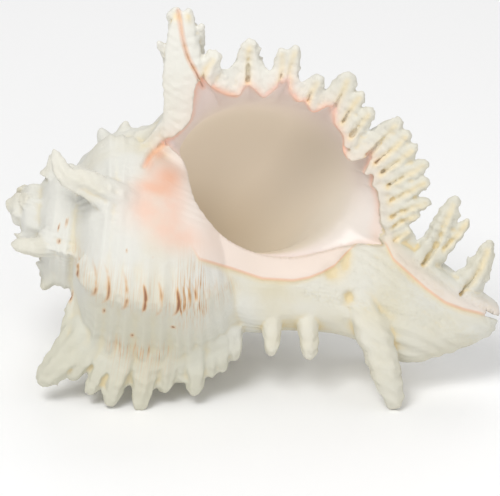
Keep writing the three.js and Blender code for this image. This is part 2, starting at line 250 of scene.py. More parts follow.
# Places seen from the front, as along, height, then half widths along and in height.
PEACH_PATCHES = ((54.5, 21.5, 6, 6), (52.5, 16, 6, 3), (53, 9, 9, 7.5), (59, 9, 5, 8), (65, 1.5, 8, 5))
ROSE_PATCHES = ((60, 26, 5, 7), (63, 17, 6, 8), (69, 8.5, 8, 7), (79, 2.5, 9, 6))
ORANGE_PATCHES = ((57, 21.5, 3.4, 3.6), (53, 17, 5.5, 2.2), (48.6, 25.5, 1.6, 3), (51, 29, 2.4, 2.4))
# The ochre places are sunk pits near the canal's start; their ochre is partly their own colour and partly
# painted shade.
OCHRE_PATCHES = ((121, 1.5, 3.4, 3.6), (124.5, 6, 2.2, 4.5), (128.3, -6.4, 1.8, 2.6))
BROWN_SPOTS = (
    (23.1, -8.8, 0.8, 1.1), (24.4, -1.5, 0.5, 2.2), (22, -4, 0.4, 1.6), (55.7, -35.9, 0.9, 0.7),
    (69.3, -29.9, 1.1, 0.6), (47.4, -6.7, 0.5, 0.7), (57.1, -7.5, 0.4, 0.4), (102.1, 44.7, 0.5, 0.4),
    (31.6, -27.2, 0.7, 2.6), (44, -29.5, 0.7, 1),
)
# Brown threads across the ribs: where they cross, which are strong, and how they are drawn.
THREADS = (49.2, 60.8, 68.1, 78.4, 88.8, 97.7, 107, 110.5, 113.2, 116.2)
STRONG_THREADS = (0, 4, 6)
THREAD_SPAN = 160
THREAD_HALF = 1.8
THREAD_BOW = 0.03
# The strength of the painted glow that the hollow's lining and the frond grooves emit, standing in for light
# that the thin wall lets in.
PAINTED_GLOW_STRENGTH = 0.29
# How far the camera stands from the apex, in millimetres. Then, in metres, how far the middle of its picture
# lies to the right of the apex and below it, and the picture's width.
VIEW_DISTANCE = 1200.0
VIEW_MIDDLE = (0.08864, 0.01602)
VIEW_WIDTH = 0.178
# The growth angles up to which the ribs, and the ridges, have brown threads.
THREADED_RIBS = -300
THREADED_RIDGES = -235
# The longest distance that the masks tell apart.
FAR = 9.0
MILLIMETRE = 0.001
# How far inside the frame's box the surface begins to be held back, at its sides and at its floor.
SIDE_EASE = 0.0015
FLOOR_EASE = 0.0004
# The lamps: place, size, power. Then the point that they face.
LAMPS = (
    ((-0.45, -0.7, 1.15), 0.6, 10.5), ((0.25, -1.2, 0.6), 0.7, 2.5), ((0.95, -0.3, 0.8), 0.8, 1.5),
    ((0.1, 0.8, 1.0), 0.9, 3.5),
)
LAMP_TARGET = (0, 0, 0.06)
BACKDROP_STRENGTH = 0.38
FLOOR_SIZE = 6
# The notch at the canal's end: from, to as along, height, nearness, then its width and depth.
CANAL_NOTCH = (((176, -1.2, 0), (181, -1.7, 0), (188, -2.3, 0)), 2.6, 24)
# The lines of the fronds' grooves, filled as the fronds are made.
groove_lines = []


def wave_rate(length):
    """The angular rate of a wave that repeats after a length."""
    return 2 * math.pi / length


def scale_at(growth):
    """The size of the whorls at a growth angle, as a share of the lip's."""
    return WHORL_GROWTH ** (growth / 360)


def around(along, out, azimuth):
    """Points from distances along the axis, distances out and azimuths."""
    a = np.radians(azimuth)
    return np.stack(np.broadcast_arrays(along, -out * np.cos(a), out * np.sin(a)), -1)


def facing(along, height, near):
    """Points given as seen from the front: along, height and nearness."""
    return np.stack(np.broadcast_arrays(along, -near, height), -1).astype(float)


def facing_path(path):
    return [facing(*point) for point in path]


def bell(distance, spread):
    """1 at no distance, falling off over a spread."""
    return np.exp(-((distance / spread) ** 2))


def step(value, low, high):
    """A smooth rise from 0 at low to 1 at high."""
    t = np.clip((value - low) / (high - low), 0, 1)
    return t * t * (3 - 2 * t)


def within(value, start, full, fall, end):
    """1 from full to fall, with a smooth rise from start and a smooth fall to the end."""
    return step(value, start, full) * (1 - step(value, fall, end))


def curve(points, count, closed=False):
    """Evenly spaced samples of a smooth curve through points."""
    p = np.array(points, float)
    n = len(p)
    if closed:
        padded = np.vstack([p[-1:], p, p[:2]])
        t = np.arange(count) * n / count
        i = t.astype(int)
    else:
        padded = np.vstack([2 * p[0] - p[1], p, 2 * p[-1] - p[-2]])
        t = np.linspace(0, n - 1, count)
        i = np.minimum(t.astype(int), n - 2)
    f = (t - i)[:, None]
    a, b, c, d = padded[i], padded[i + 1], padded[i + 2], padded[i + 3]
    return 0.5 * (2 * b + (c - a) * f + (2 * a - 5 * b + 4 * c - d) * f**2 + (3 * (b - c) + d - a) * f**3)


def lumps(points, size, seed):
    """Soft noise between about -1 and 1 that varies over a size."""
    dice = np.random.default_rng(seed)
    total = np.zeros(len(points))
    waves = 9
    for _ in range(waves):
        direction = dice.normal(size=3)
        direction *= dice.uniform(0.6, 1.4) / np.linalg.norm(direction)
        total += np.sin(points @ direction * wave_rate(size) + dice.uniform(0, 2 * math.pi))
    return total / math.sqrt(waves) / 1.4


def from_nearest(growth, offset):
    """Degrees from the nearest ridge, or from the nearest rib with an offset of half a step."""
    steps = (growth + offset) / RIDGE_STEP
    return (steps - np.round(steps)) * RIDGE_STEP


def relief(along, growth, cord_height):
    """How far ridges, ribs and cords raise the whorl, at the lip's size."""
    ridge_number = int(round(-growth / RIDGE_STEP))
    height = RIDGE_HEIGHTS[ridge_number] if ridge_number < len(RIDGE_HEIGHTS) else OLD_RIDGE
    off = from_nearest(growth, 0)
    near_ridge = bell(off, FLANK_SPREAD)
    ridge = height * (CREST_SHARE * bell(off, CREST_SPREAD) + (1 - CREST_SHARE) * near_ridge)
    near_rib = bell(from_nearest(growth, RIDGE_STEP / 2), RIB_SPREAD)
    rib = RIB_HEIGHT * near_rib
    cords = sum(bell(along - place, CORD_SPREAD) for place in CORDS) - 0.35
    strength = cord_height * (0.5 + 1.5 * bell(off, 28) + 0.8 * near_rib)
    raised = ridge * (0.15 + 0.85 * bell(along - WIDEST, 40)) + rib * bell(along - WIDEST, 36)
    callus = step(along, *CALLUS_ALONG) * within(-growth, *CALLUS_GROWTH)
    return (raised + strength * cords * step(along, *CORD_START)) * (1 - callus)


class Solids:
    """Gathers closed skins of rings into one mesh."""

    def __init__(self):
        self.points = []
        self.faces = []
        self.count = 0

    def skin(self, rings):
        """Adds the skin of closed rings, each end closed by a fan round its middle."""
        rings = np.asarray(rings, float)
        rows, sides = rings.shape[:2]
        start = self.count
        ends = [rings[0].mean(0), rings[-1].mean(0)]
        self.points.append(np.vstack([rings.reshape(-1, 3), ends]))
        i = np.arange(sides)
        j = (i + 1) % sides
        for row in range(rows - 1):
            low, high = start + row * sides, start + (row + 1) * sides
            self.faces.extend(np.stack([low + i, low + j, high + j, high + i], -1).tolist())
        first, last = start + rows * sides, start + rows * sides + 1
        self.faces.extend(np.stack([np.full(sides, first), start + j, start + i], -1).tolist())
        top = start + (rows - 1) * sides
        self.faces.extend(np.stack([np.full(sides, last), top + i, top + j], -1).tolist())
        self.count += rows * sides + 2

    def make(self, name):
        """The gathered skins as a new object with its faces pointing out."""
        mesh = bpy.data.meshes.new(name)
        mesh.from_pydata(np.vstack(self.points), [], self.faces)
        made = bpy.data.objects.new(name, mesh)
        bpy.context.collection.objects.link(made)
        only(made)
        bpy.ops.object.mode_set(mode="EDIT")
        bpy.ops.mesh.select_all(action="SELECT")
        bpy.ops.mesh.normals_make_consistent(inside=False)
        bpy.ops.object.mode_set(mode="OBJECT")
        return made


def cross(a, b):
    """The unit direction at right angles to two others."""
    made = np.cross(a, b)
    return made / np.maximum(np.linalg.norm(made, axis=-1, keepdims=True), 1e-9)


def directions(line, front):
    """The unit directions along a line, across it and out of its face, at each of its points."""
    tangent = np.gradient(line, axis=0)
    tangent /= np.linalg.norm(tangent, axis=1, keepdims=True)
    side = cross(tangent, np.asarray(front, float)[None])
    return tangent, side, cross(side, tangent)


def frond_rings(points, width, depth, front, look):
    """Rings of a curved, tapering frond whose folded side faces front."""
    look = {**FROND_LOOK, **look}
    line = curve(points, look["rows"])
    tangent, side, face = directions(line, front)
    t = np.linspace(0, 1, look["rows"])
    phase = look["phase"]
    rounded = np.sqrt(1 - t ** look["round"])
    swell = (1 - (1 - look["tip"]) * t) * rounded + look["flare"] * (1 - t) ** 3
    ruffled = 1 + look["ruffle"] * np.sin(t * look["waves"] * 2 * math.pi + phase)
    half = swell * ruffled * width / 2
    angle = np.linspace(0, 2 * math.pi, look["sides"], endpoint=False)
    from_front = (angle - math.pi / 2 + math.pi) % (2 * math.pi) - math.pi
    notch = look["fold"] * bell(from_front, look["notch"])
    opened = step(t, 0.02, 0.3)[:, None]
    pleats = look["pleat"] * np.sin(angle * 6 + phase)
    reach = 1 - (notch + pleats)[None] * opened
    ragged = look["jag"] * width * (t**5 * rounded)[:, None] * np.cos(angle * 4 + 2 * phase)[None]
    line = line[:, None] + tangent[:, None] * ragged[..., None]
    across = half[:, None] * np.cos(angle)[None] * reach
    deep = (half * depth / width)[:, None] * np.sin(angle)[None] * reach
    return line + side[:, None] * across[..., None] + face[:, None] * deep[..., None]


def prongs(points, width, front, dice, count):
    """Small points on the sides and at the tip of a frond, as point lists with their widths."""
    steps = 40
    line = curve(points, steps + 1)
    made = []
    for number in range(count + 2):
        at_tip = number >= count
        sign = 1 if number % 2 == 0 else -1
        t = 0.9 if at_tip else 0.4 + 0.42 * (number + dice.uniform(0.2, 0.8)) / count
        i = min(int(t * steps), steps - 1)
        tangent = line[i + 1] - line[i]
        tangent /= np.linalg.norm(tangent)
        side = cross(tangent, np.asarray(front, float))
        face = cross(side, tangent)
        lean = dice.uniform(-0.3, 0.3)
        taper = 1 - 0.6 * t
        reach = width * taper * dice.uniform(0.55, 0.9)
        spread = 0.35 if at_tip else 0.75
        direction = 0.9 * tangent + spread * sign * side + lean * face
        root = line[i] + side * sign * width * taper * 0.2 - tangent * reach * 0.6
        bend = root + direction * reach * 0.6
        end = root + direction * reach + tangent * reach * 0.15
        made.append(((root, bend, end), width * taper * dice.uniform(0.3, 0.45)))
    return made


def groove_path(points, depth, front, tip):
    """The line along a frond's folded face, where its groove lies."""
    line = curve(points, GROOVE_POINTS)
    face = directions(line, front)[2]
    t = np.linspace(0, 1, GROOVE_POINTS)[:, None]
    reach = (1 - (1 - tip) * t) * depth / 2
    return (line + face * reach)[5:29:3]


def add_frond(solids, grooves, points, width, depth, front, dice, side_prongs, finish):
    """A frond with its points, and the cutter of its groove where it is broad enough."""
    look = {**FROND_LOOK, "phase": dice.uniform(0, 6), "waves": dice.uniform(3.4, 5.4), **finish}
    solids.skin(frond_rings(points, width, depth, front, look))
    if side_prongs is not None:
        for path, thick in prongs(points, width, front, dice, side_prongs):
            solids.skin(frond_rings(path, thick, thick, front, POINT_LOOK))
    if width >= GROOVED_FROND and look["groove"]:
        line = groove_path(points, depth, front, look["tip"])
        groove_lines.append(curve(line, 24))
        groove_width = max(GROOVE_WIDTH, width * GROOVE_SHARE)
        grooves.skin(frond_rings(line, groove_width, depth * 0.7, front, SLOT_LOOK))


def ridge_fronds(solids, grooves, fronds, azimuth, size, length, dice, bluntness=0.34):
    """The fronds of a ridge that stands at an azimuth."""
    front = around(0.0, 1.0, azimuth - 90)
    for *path, width in fronds:
        root = path[0]
        turns = np.linspace(FROND_LEAN, -FROND_LEAN / 2, len(path))
        places = []
        for point, turn in zip(path, turns):
            along, out = ((root[i] + (point[i] - root[i]) * length) * size for i in (0, 1))
            places.append(around(along, out, azimuth + turn))
        count, finish = 3 if width > WIDE_FROND else 2, {**RIDGE_LOOK, "tip": bluntness}
        if width > BIG_FROND:
            count, finish = 1, {**BIG_LOOK, "groove": size < 1}
        depth = min(width, FROND_DEPTH) * size
        add_frond(solids, grooves, places, width * size, depth, front, dice, count, finish)


def mouth_ring(count):
    """The rim of the mouth as along, out."""
    return curve(INNER_RIM + OUTER_RIM, count, closed=True)


def round_bore(places):
    """The angles of places round the bore's middle, and their distances as shares of its half widths."""
    scaled = (places - BORE_CENTRE) / BORE_HALF
    return np.arctan2(scaled[:, 1], scaled[:, 0]), np.hypot(scaled[:, 0], scaled[:, 1])


def hollow_rings():
    """Rings of the hollow, from in front of the mouth to where it ends inside the whorl."""
    rim = mouth_ring(RIM_POINTS)
    angle = round_bore(rim)[0]
    start = around(rim[:, 0], rim[:, 1], LIP_AZIMUTH)
    rings = [start + np.array([0, -70, 0]), start + np.array([0, -3, 0])]
    closing = (CAVITY_END, CAVITY_END - 6, CAVITY_END - 11)
    for growth in (*FUNNEL_RINGS, *range(-20, CAVITY_END, -4), *closing):
        size = scale_at(growth)
        full = 1 if growth >= CAVITY_END else 0.75 if growth > CAVITY_END - 10 else 0.3
        open_part = max(0, 1 + growth / LIP_BEVEL) ** FUNNEL_CURVE
        along = BORE_CENTRE[0] + full * BORE_HALF[0] * np.cos(angle)
        out = BORE_CENTRE[1] + full * BORE_HALF[1] * np.sin(angle)
        along = along + (rim[:, 0] - along) * open_part
        out = out + (rim[:, 1] - out) * open_part
        rings.append(around(along * size, out * size, LIP_AZIMUTH - growth))
    return rings


def whorl_place(points):
    """The growth, and the along and out at the lip's size, of the whorl that each point lies on."""
    along, out = points[:, 0], np.hypot(points[:, 1], points[:, 2])
    azimuth = np.degrees(np.arctan2(points[:, 2], -points[:, 1]))
    profile = np.array(WHORL_PROFILE, float)
    best = np.full(len(points), 1e9)
    place = np.zeros((3, len(points)))
    for turn in range(6):
        growth = -((azimuth - LIP_AZIMUTH) % 360) - 360 * turn
        size = scale_at(growth)
        at = along / size
        off = np.abs(out / size - np.interp(at, profile[:, 0], profile[:, 1], 0, 0)) * size
        better = off < best
        best = np.where(better, off, best)
        for row, value in enumerate((growth, at, out / size)):
            place[row] = np.where(better, value, place[row])
    return place


def seen(points):
    """Where points appear from the front, as along and height on the plane through the apex."""
    shrink = VIEW_DISTANCE / (VIEW_DISTANCE + points[:, 1])
    return points[:, 0] * shrink, points[:, 2] * shrink


def turned(a, b, angle):
    """Two coordinates after a turn by an angle."""
    return a * math.cos(angle) + b * math.sin(angle), b * math.cos(angle) - a * math.sin(angle)


def at_rest(points):
    """Points about the axis, in millimetres, as points of the resting shell in metres."""
    x, y, z = points.T
    x, z = turned(x, z, AXIS_DIP)
    y, z = turned(y, z, ROLL)
    return (np.stack([x, y, z], -1) + np.array(APEX)) * MILLIMETRE


def about_axis(resting):
    """Points of the resting shell in metres, as points about the axis in millimetres."""
    x, y, z = (resting / MILLIMETRE - np.array(APEX)).T
    y, z = turned(y, z, -ROLL)
    x, z = turned(x, z, -AXIS_DIP)
    return np.stack([x, y, z], -1)


def held_inside(points):
    """The points, with those near the sides of the box eased so that none passes a side."""
    low, high = np.array(CAD_BOX[0]), np.array(CAD_BOX[1])
    over = np.maximum(points - (high - SIDE_EASE), 0) / SIDE_EASE
    points = np.minimum(points, high - SIDE_EASE) + SIDE_EASE * np.tanh(over)
    ease = np.array([SIDE_EASE, SIDE_EASE, FLOOR_EASE])
    under = np.maximum(low + ease - points, 0) / ease
    return np.maximum(points, low + ease) - ease * np.tanh(under)


def vectors(items, name):
    """The three numbers that every item has under a name, as rows."""
    values = np.empty(len(items) * 3)
    items.foreach_get(name, values)
    return values.reshape(-1, 3)


def coordinates(piece):
    return vectors(piece.data.vertices, "co")


def vertex_normals(piece):
    return vectors(piece.data.vertex_normals, "vector")


def place_points(piece, points):
    piece.data.vertices.foreach_set("co", np.ascontiguousarray(points).ravel())
    piece.data.update()


def only(piece):
    bpy.ops.object.select_all(action="DESELECT")
    bpy.context.view_layer.objects.active = piece
    piece.select_set(True)


def modify(piece, kind, **settings):
    """Adds a modifier with its settings and applies it."""
    only(piece)
    modifier = piece.modifiers.new(kind, kind)
    for name, value in settings.items():
        setattr(modifier, name, value)
    bpy.ops.object.modifier_apply(modifier=modifier.name)


def cut_away(piece, cutter):
    modify(piece, "BOOLEAN", operation="DIFFERENCE", solver="MANIFOLD", object=cutter)
    bpy.data.objects.remove(cutter)


def averaged(piece, values, rounds):
    """Values of the points, each averaged with those of its neighbours for some rounds."""
    edges = np.empty(len(piece.data.edges) * 2, int)
    piece.data.edges.foreach_get("vertices", edges)
    a, b = edges.reshape(-1, 2).T
    count = len(values)
    number = np.maximum(np.bincount(a, minlength=count) + np.bincount(b, minlength=count), 1)
    for _ in range(rounds):
        near = [np.bincount(a, row[b], count) + np.bincount(b, row[a], count) for row in values.T]
        values = 0.3 * values + 0.7 * (np.array(near) / number).T
    return values


def length(name, description, default):
    return bpy.props.FloatProperty(name=name, description=description, default=default, unit="LENGTH")


class ShellSizes(bpy.types.PropertyGroup):
    """Sizes of the fine surface."""
    voxel: length("Fusing step", "How finely the parts are fused", 0.0005)
    cord_height: length("Cord height", "How far the spiral cords stand up", 0.0018)
    band_height: length("Band height", "How far the glossy band stands up", 0.0011)
    edge_height: length("Edge height", "How far the lip stands over the canal", 0.0013)
    triangles: bpy.props.IntProperty(
        name="Triangles", description="Most triangles of the finished mesh", default=190000)


def colour(name, description, default):
    return bpy.props.FloatVectorProperty(
        name=name, description=description, subtype="COLOR", size=3, default=default, min=0, max=1)


class ShellColours(bpy.types.PropertyGroup):
    """Colours of the shell and of the floor."""
    chalk: colour("Chalk", "The white outside", (0.725, 0.72, 0.665))
    # Cream is also painted shade in the broad valleys.
    cream: colour("Cream", "Hollows and fronds", (0.68, 0.625, 0.46))
    # Ochre is also painted shade, in creases and pits and just below the edges of the band and of the lip
    # over the canal.
    ochre: colour("Ochre", "Deep folds", (0.74, 0.60, 0.33))
    # A paler tint for the fronds of the shoulder, growing towards the top.
    upper_pale: colour("Upper pale", "The paler fronds of the shoulder", (0.82, 0.81, 0.76))
    # Olive is painted shade on the lower side of the last whorl.
    olive: colour("Olive", "The lower side of the last whorl", (0.53, 0.52, 0.40))
    peach: colour("Peach", "The callus by the mouth", (0.84, 0.57, 0.45))
    orange: colour("Orange", "The edge of the lip", (0.84, 0.42, 0.25))
    lilac: colour("Lilac", "The inner wall of the lip", (0.77, 0.665, 0.63))
    tan: colour("Tan", "The lower inside of the whorl", (0.61, 0.52, 0.39))
    sand: colour("Sand", "The upper inside of the whorl", (0.70, 0.622, 0.52))
    rose: colour("Rose", "The glossy callus round the inner side of the mouth", (0.86, 0.765, 0.69))
    brown: colour("Brown", "Threads on ribs and ridges", (0.26, 0.09, 0.035))
    seam: colour("Seam", "The closed seam of the shoulder frond", (0.40, 0.19, 0.11))
    stain: colour("Stain", "The soft sides of threads and spots", (0.66, 0.42, 0.22))
    floor: colour("Floor", "The floor below the shell", (0.97, 0.97, 0.97))


class SHELL_OT_whorls(bpy.types.Operator):
    """Skins the whorls with their ridges, ribs and cords"""
    bl_idname = "shell.whorls"
    bl_label = "Whorls"

    def execute(self, context):
        cord_height = context.scene.shell_sizes.cord_height / MILLIMETRE
        along, out = curve(WHORL_PROFILE, PROFILE_POINTS).T
        share = np.minimum(1, out / SHOULDER_OUT)
        rings = []
        for growth in np.arange(0, -TURNS * 360, -WHORL_STEP):
            size = scale_at(growth)
            raised = out + relief(along, growth, cord_height) * share
            azimuth = LIP_AZIMUTH - growth
            ring = around(along * size, raised * size, azimuth)
            inside = around(np.array([along[-1], along[0]]) * size, CORE * size, azimuth)
            rings.append(np.vstack([ring, inside]))
        solids = Solids()
        solids.skin(rings)
        solids.make("whorls")
        return {"FINISHED"}


class SHELL_OT_canal(bpy.types.Operator):
    """Skins the canal and the old canal ends"""
    bl_idname = "shell.canal"
    bl_label = "Canal"

    def execute(self, context):
        solids = Solids()
        angle = np.linspace(0, 2 * math.pi, 72, endpoint=False)
        ripple_height, ripples, twist = 0.012, 9, 0.05
        rings = []
        for along, middle, half_height, near, half_depth in curve(CANAL, 70):
            ripple = 1 + ripple_height * np.sin(angle * ripples + along * twist)
            height = middle + half_height * np.cos(angle) * ripple
            rings.append(facing(along, height, near + half_depth * np.sin(angle) * ripple))
        solids.skin(rings)
        for path, width, depth, front in OLD_CANALS:
            solids.skin(frond_rings(facing_path(path), width, depth, facing(*front), OLD_CANAL_LOOK))
        solids.make("canal")
        return {"FINISHED"}


class SHELL_OT_fronds(bpy.types.Operator):
    """Skins the fronds of every ridge"""
    bl_idname = "shell.fronds"
    bl_label = "Fronds"

    def execute(self, context):
        dice = np.random.default_rng(11)
        groove_lines.clear()
        solids, grooves = Solids(), Solids()
        back = [frond for frond in LIP_FRONDS if frond[-1] > REPEATED_FROND]
        ridge_fronds(solids, grooves, LIP_FRONDS + SHOULDER_POINTS, LIP_AZIMUTH, 1, 1, dice, 0.45)
        ridge_fronds(solids, grooves, back, LIP_AZIMUTH + RIDGE_STEP, scale_at(-RIDGE_STEP), 1.05, dice)
        ridge_fronds(solids, grooves, LOWER_FRONDS, LIP_AZIMUTH + 2 * RIDGE_STEP, 1, 1, dice, 0.6)
        upper, front = facing_path(UPPER_FROND), facing(0, -0.6, 1)
        add_frond(solids, grooves, upper, UPPER_WIDTH, UPPER_WIDTH, front, dice, None, UPPER_LOOK)
        for path, width, tip in SIDE_FRONDS:
            look, front = {**SIDE_LOOK, "tip": tip}, facing(0, 0.2, 1)
            add_frond(solids, grooves, facing_path(path), width, width, front, dice, None, look)
        solids.make("fronds")
        grooves.make("grooves")
        return {"FINISHED"}


class SHELL_OT_knobs(bpy.types.Operator):
    """Skins the blunt knobs of ribs and old ridges"""
    bl_idname = "shell.knobs"
    bl_label = "Knobs"

    def execute(self, context):
        solids = Solids()
        sunk = 12
        for growth, along, out, reach, width in KNOBS:
            size, azimuth = scale_at(growth), LIP_AZIMUTH - growth
            points = [
                around(along * size, (out - sunk) * size, azimuth),
                around(along * size, out * size, azimuth),
                around((along - reach / 3) * size, (out + reach) * size, azimuth),
            ]
            fold = 0.25 if size > 0.5 else 0
            look = {**KNOB_LOOK, "fold": fold, "pleat": fold / 6}
            solids.skin(frond_rings(points, width * size, width * size, around(0.0, 1.0, azimuth - 90), look))
        solids.make("knobs")
        return {"FINISHED"}


class SHELL_OT_fuse(bpy.types.Operator):
    """Fuses the parts, hollows the mouth and notches the end of the canal"""
    bl_idname = "shell.fuse"
    bl_label = "Fuse and hollow"

    def execute(self, context):
        sizes = context.scene.shell_sizes
        voxel = sizes.voxel / MILLIMETRE * 1
        coarser = 1.1
        names = ("whorls", "canal", "fronds", "knobs")
        bpy.ops.object.select_all(action="DESELECT")
        for name in names:
            bpy.data.objects[name].select_set(True)
        shell = bpy.data.objects[names[0]]
        bpy.context.view_layer.objects.active = shell
        bpy.ops.object.join()
        shell.name = shell.data.name = "murex_shell"
        modify(shell, "REMESH", mode="VOXEL", voxel_size=voxel * coarser, use_smooth_shade=True)
        cutters = Solids()
        cutters.skin(hollow_rings())
        cut_away(shell, cutters.make("mouth"))
        cut_away(shell, bpy.data.objects["grooves"])
        cutters = Solids()
        path, width, depth = CANAL_NOTCH
        cutters.skin(frond_rings(facing_path(path), width, depth, facing(0, 0, 1), NOTCH_LOOK))
        cut_away(shell, cutters.make("notch"))
        modify(shell, "REMESH", mode="VOXEL", voxel_size=voxel, use_smooth_shade=True)
        modify(shell, "SMOOTH", factor=0.5, iterations=1)
        return {"FINISHED"}


class SHELL_OT_surface(bpy.types.Operator):
    """Raises the glossy band and the fine growth relief, then thins the mesh and lays it at rest"""
    bl_idname = "shell.surface"
    bl_label = "Surface"

    def execute(self, context):
        sizes = context.scene.shell_sizes
        shell = bpy.data.objects["murex_shell"]
        points, normals = coordinates(shell), vertex_normals(shell)
        masks = surface_masks(points, normals)
        smooth = 1 - np.clip(masks["inside"] + masks["band"] + masks["peach"], 0, 1)
        growth, along, out = whorl_place(points)
        canal_part = smooth * step(points[:, 0], 112, 135)
        wrinkles = np.sin((points[:, 2] + 0.3 * points[:, 0] + 2.2 * lumps(points, 26, 2)) * wave_rate(4.6))
        lamella = np.sin(growth * wave_rate(5.3) + 2.5 * lumps(points, 40, 3))
        near_ridge = bell(from_nearest(growth, 0), 16)
        steps = np.stack([masks["band"], masks["over_canal"]], -1)
        band, over_canal = averaged(shell, steps, 2).T
        raise_by = (sizes.band_height * band + sizes.edge_height * over_canal) / MILLIMETRE
        raise_by += smooth * (0.1 * lumps(points, 5, 5) + 0.2 * lumps(points, 17, 8))
        raise_by += smooth * 0.16 * (0.25 + near_ridge) * lamella * step(out, 20, 40)
        raise_by += canal_part * 0.22 * wrinkles
        raise_by -= 1.1 * bell(masks["seam_distance"], 0.7) + 1.8 * masks["ochre"]
        raise_by -= 0.6 * bell(masks["fold_distance"], 0.9) - 0.4 * bell(masks["fold_distance"] - 2, 1)
        raise_by += 0.2 * step(out, 62, 70) * smooth * lumps(points, 3.4, 6)
        soft = blobs(*seen(points), SOFT_PLACES) * step(-points[:, 1], *FRONT_DEPTH)
        soft = averaged(shell, soft[:, None], 6)
        points += soft * (averaged(shell, points, SOFT_ROUNDS) - points)
        place_points(shell, points + normals * raise_by[:, None])
        triangles = sum(len(face.vertices) - 2 for face in shell.data.polygons)
        if triangles > sizes.triangles:
            modify(shell, "DECIMATE", ratio=sizes.triangles / triangles)
        place_points(shell, held_inside(at_rest(coordinates(shell))))
        only(shell)
        bpy.ops.object.shade_smooth()
        return {"FINISHED"}


def blobs(u, v, patches):
    """A soft mask of oval patches."""
    clear = np.ones(len(u))
    for along, height, half_along, half_height in patches:
        away = np.hypot((u - along) / half_along, (v - height) / half_height)
        clear *= 1 - bell(away, 1)
    return 1 - clear


def line_distance(u, v, line):
    """The distance from a line of points, as seen from the front."""
    points = curve(line, 120)
    away = np.full(len(u), FAR)
    places = np.stack([u, v], -1)
    reach = 4
    near = ((places > points.min(0) - reach) & (places < points.max(0) + reach)).all(1)
    gaps = np.hypot(u[near][:, None] - points[:, 0], v[near][:, None] - points[:, 1])
    away[near] = gaps.min(1)
    return away


def groove_mask(points):
    """1 in the grooves of the fronds, falling off beside them."""
    mask = np.zeros(len(points))
    reach = 4
    for line in groove_lines:
        near = ((points > line.min(0) - reach) & (points < line.max(0) + reach)).all(1)
        gaps = np.linalg.norm(points[near][:, None] - line[None], axis=2).min(1)
        mask[near] = np.maximum(mask[near], bell(gaps, 1.2))
    return mask


def above_line(u, v, line):
    """How high points are above a line, as seen from the front."""
    along, height = np.array(line).T
    return v - np.interp(u, along, height)


def rim_distance(points, near_lip):
    """The distance from the rim of the outer lip, for the points near the lip."""
    rim = curve(OUTER_RIM[2:], RIM_POINTS)
    rim_points = around(rim[:, 0], rim[:, 1], LIP_AZIMUTH)
    distance = np.full(len(points), FAR)
    chosen = np.where(near_lip)[0]
    at_once = 20000
    for part in np.array_split(chosen, max(1, len(chosen) // at_once)):
        gaps = points[part][:, None] - rim_points[None]
        distance[part] = np.minimum(np.sqrt((gaps**2).sum(-1).min(1)), FAR)
    return distance


def hollow_masks(points, normals):
    """Masks of the hollow's wall and of what depends on the place in it."""
    before_lip, near_lip, near_bore, slack = 12, 14, 1.9, 1.06
    azimuth = np.degrees(np.arctan2(points[:, 2], -points[:, 1]))
    growth = before_lip - (azimuth - LIP_AZIMUTH + before_lip) % 360
    size = scale_at(growth)
    along, out = points[:, 0] / size, np.hypot(points[:, 1], points[:, 2]) / size
    places = np.stack([along, out], -1)
    angle, share = round_bore(places)
    rim_angle, rim_share = round_bore(mouth_ring(300))
    order = np.argsort(rim_angle)
    rim_share = np.interp(angle, rim_angle[order], rim_share[order], period=2 * math.pi)
    open_part = np.clip(1 + growth / LIP_BEVEL, 0, 1) ** FUNNEL_CURVE
    offset = places - BORE_CENTRE
    a = np.radians(azimuth)
    outward = normals[:, 2] * np.sin(a) - normals[:, 1] * np.cos(a)
    away = np.maximum(np.hypot(offset[:, 0], offset[:, 1]), 1e-6)
    inward = -(normals[:, 0] * offset[:, 0] + outward * offset[:, 1]) / away
    inside = step(inward, -0.1, 0.25) * (share < slack + (rim_share - 1) * open_part)
    inside *= (growth > CAVITY_END - 14) * (growth < 1)
    distance = rim_distance(points, (np.abs(growth) < near_lip) & (share < near_bore))
    return {
        "inside": inside,
        "depth": step(-growth, 3, 40) * inside,
        "deep": step(-growth, 3, 40) * (1 - step(along, 96, 120)) * inside,
        "channel": inside * step(along, 100, 124) * (1 - 0.6 * step(out, 24, 44)),
        "edge": np.clip(bell(distance, 1.6) + 0.3 * inside * step(growth, -5.5, -0.6), 0, 1),
        "glow": bell(distance, 5.0),
    }


def surface_masks(points, normals):
    """Masks between 0 and 1, distances and places, for the parts that differ in relief or in colour."""
    masks = hollow_masks(points, normals)
    inside = masks["inside"]
    u, v = seen(points)
    front = step(-normals[:, 1], 0.0, 0.25) * step(-points[:, 1], *FRONT_DEPTH)
    above_band, above_canal = above_line(u, v, BAND_LOW), above_line(u, v, CANAL_EDGE)
    band = front * step(above_band, -0.5, 0.5) * (1 - inside) * within(u, 64, 80, 122, 128)
    band *= 1 - step(above_line(u, v, BAND_HIGH), 0, 4)
    over_canal = front * within(above_canal, -0.4, 0.4, 1, 9) * step(u, 134, 139) * (1 - inside)
    split = 131
    masks.update({
        "height": v,
        "front_along": u,
        "low": 1 - step(v, 2, 34),
        "band": band,
        "over_canal": over_canal,
        "line_part": front * (within(u, 68, 77, 124, 128) + within(u, 135, 139, 175, 179)),
        "line_distance": np.clip(np.where(u < split, above_band, above_canal), -FAR, FAR),
        "seam_distance": np.where(front > 0.3, line_distance(u, v, SHOULDER_SEAM), FAR),
        "fold_distance": np.where(front > 0.3, line_distance(u, v, RIM_FOLD), FAR),
        "peach": front * blobs(u, v, PEACH_PATCHES),
        "rose": np.clip(band + front * blobs(u, v, ROSE_PATCHES), 0, 1) * (1 - inside),
        "orange": front * blobs(u, v, ORANGE_PATCHES),
        "ochre": front * blobs(u, v, OCHRE_PATCHES),
        "spots": np.maximum(front, inside) * blobs(u, v, BROWN_SPOTS),
    })
    return masks


def hollowness(shell, points, normals, rounds):
    """How far the surface sinks below its surroundings, which widen with the rounds."""
    return ((averaged(shell, points, rounds) - points) * normals).sum(1)


